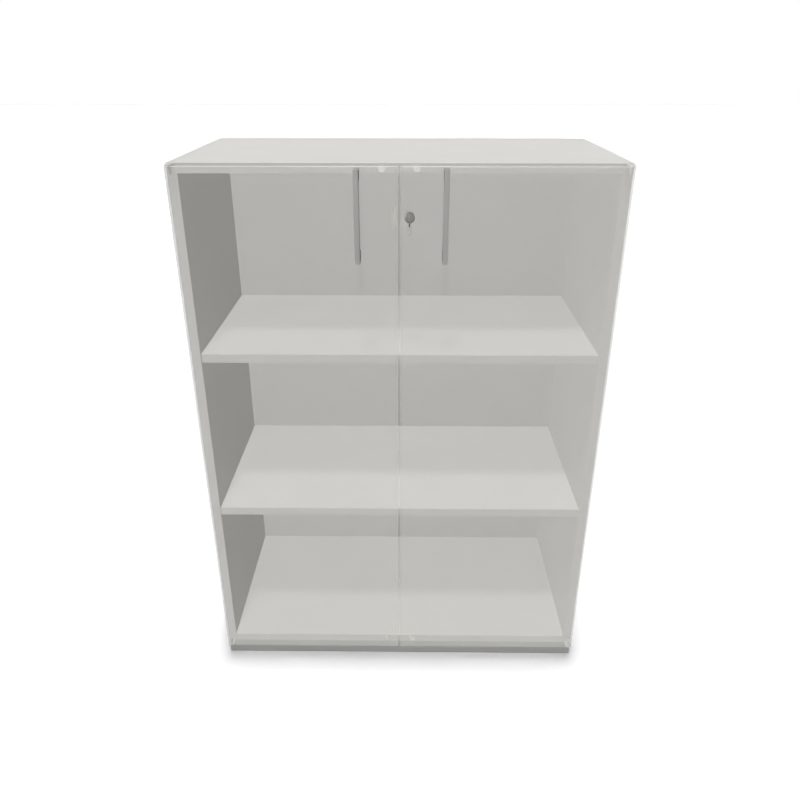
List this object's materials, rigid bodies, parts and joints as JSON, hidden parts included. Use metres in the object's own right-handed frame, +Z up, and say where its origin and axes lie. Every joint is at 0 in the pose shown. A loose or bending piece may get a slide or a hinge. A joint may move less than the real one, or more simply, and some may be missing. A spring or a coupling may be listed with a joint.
{
  "type": "hinged door cabinet",
  "caption": "Free-standing office cupboard on a plinth, with see-through hinged doors, shelves, bow handles and a key lock.",
  "frame": {"origin": "on the floor, under the centre of the bounding box of the whole cupboard with its handles and key", "axes": "+X to the right across the front, +Y from the front to the back, +Z up; the doors face -Y"},
  "size_m": [0.8, 0.449, 1.111],
  "materials": {
    "light_grey_board": "melamine-faced chipboard, fine matt",
    "light_grey_edging": "plastic edging, matt",
    "plinth_grey_board": "foil-wrapped board, mid grey, matt",
    "beech": "plain beech",
    "zinc_steel": "bright zinc-plated",
    "light_grey_steel": "powder-coated, matt",
    "light_grey_nylon": "moulded nylon",
    "magnet": "ground ferrite",
    "milky_acrylic": "see-through milky grey acrylic, polished",
    "satin_aluminium": "satin anodised",
    "nickel_brass": "nickel-plated brass, satin"
  },
  "bodies": {
    "carcass": {"left_side_panel": "light_grey_board", "right_side_panel": "light_grey_board", "top_board": "light_grey_board", "bottom_board": "light_grey_board", "back_panel": "light_grey_board", "upper_shelf": "light_grey_board", "lower_shelf": "light_grey_board", "side_panel_edging": "light_grey_edging", "top_board_edging": "light_grey_edging", "bottom_board_edging": "light_grey_edging", "shelf_edging": "light_grey_edging", "carcass_dowels": "beech", "shelf_pins": "zinc_steel", "plinth_front_rail": "plinth_grey_board", "plinth_back_rail": "plinth_grey_board", "plinth_side_rails": "plinth_grey_board", "plinth_corner_blocks": "beech", "plinth_screws": "zinc_steel", "top_pivot_brackets": "light_grey_steel", "bottom_pivot_brackets": "light_grey_steel", "bracket_screws": "light_grey_steel", "pivot_pins": "zinc_steel", "catch_sleeves": "light_grey_nylon", "catch_magnets": "magnet"},
    "left_leaf": {"left_door": "milky_acrylic", "left_door_bushes": "light_grey_nylon", "left_catch_plates": "zinc_steel", "left_handle": "satin_aluminium", "left_handle_screws": "zinc_steel", "strike_plate": "zinc_steel", "strike_stud": "zinc_steel", "strike_screws": "zinc_steel"},
    "right_leaf": {"right_door": "milky_acrylic", "right_door_bushes": "light_grey_nylon", "right_catch_plates": "zinc_steel", "right_handle": "satin_aluminium", "right_handle_screws": "zinc_steel", "lock_housing": "nickel_brass", "lock_ring_nut": "zinc_steel"},
    "lock_core": {"lock_plug": "nickel_brass", "lock_cam": "zinc_steel", "cam_screw": "zinc_steel"},
    "key": {"key": "nickel_brass"}
  },
  "joints": [
    {"name": "left_door_hinge", "type": "hinge", "parent": "carcass", "child": "left_leaf", "pos_m": [-0.39253, -0.1875, 0.57275], "axis": [0, 0, -1], "range_deg": [0, 110]},
    {"name": "right_door_hinge", "type": "hinge", "parent": "carcass", "child": "right_leaf", "pos_m": [0.39253, -0.1875, 0.57275], "axis": [0, 0, 1], "range_deg": [0, 110]},
    {"name": "lock_turn", "type": "hinge", "parent": "right_leaf", "child": "lock_core", "pos_m": [0.018, -0.1955, 1.022], "axis": [0, 1, 0], "range_deg": [0, 90]},
    {"name": "key_pull", "type": "slide", "parent": "lock_core", "child": "key", "axis": [0, -1, 0], "range_m": [0, 0.02]}
  ]
}
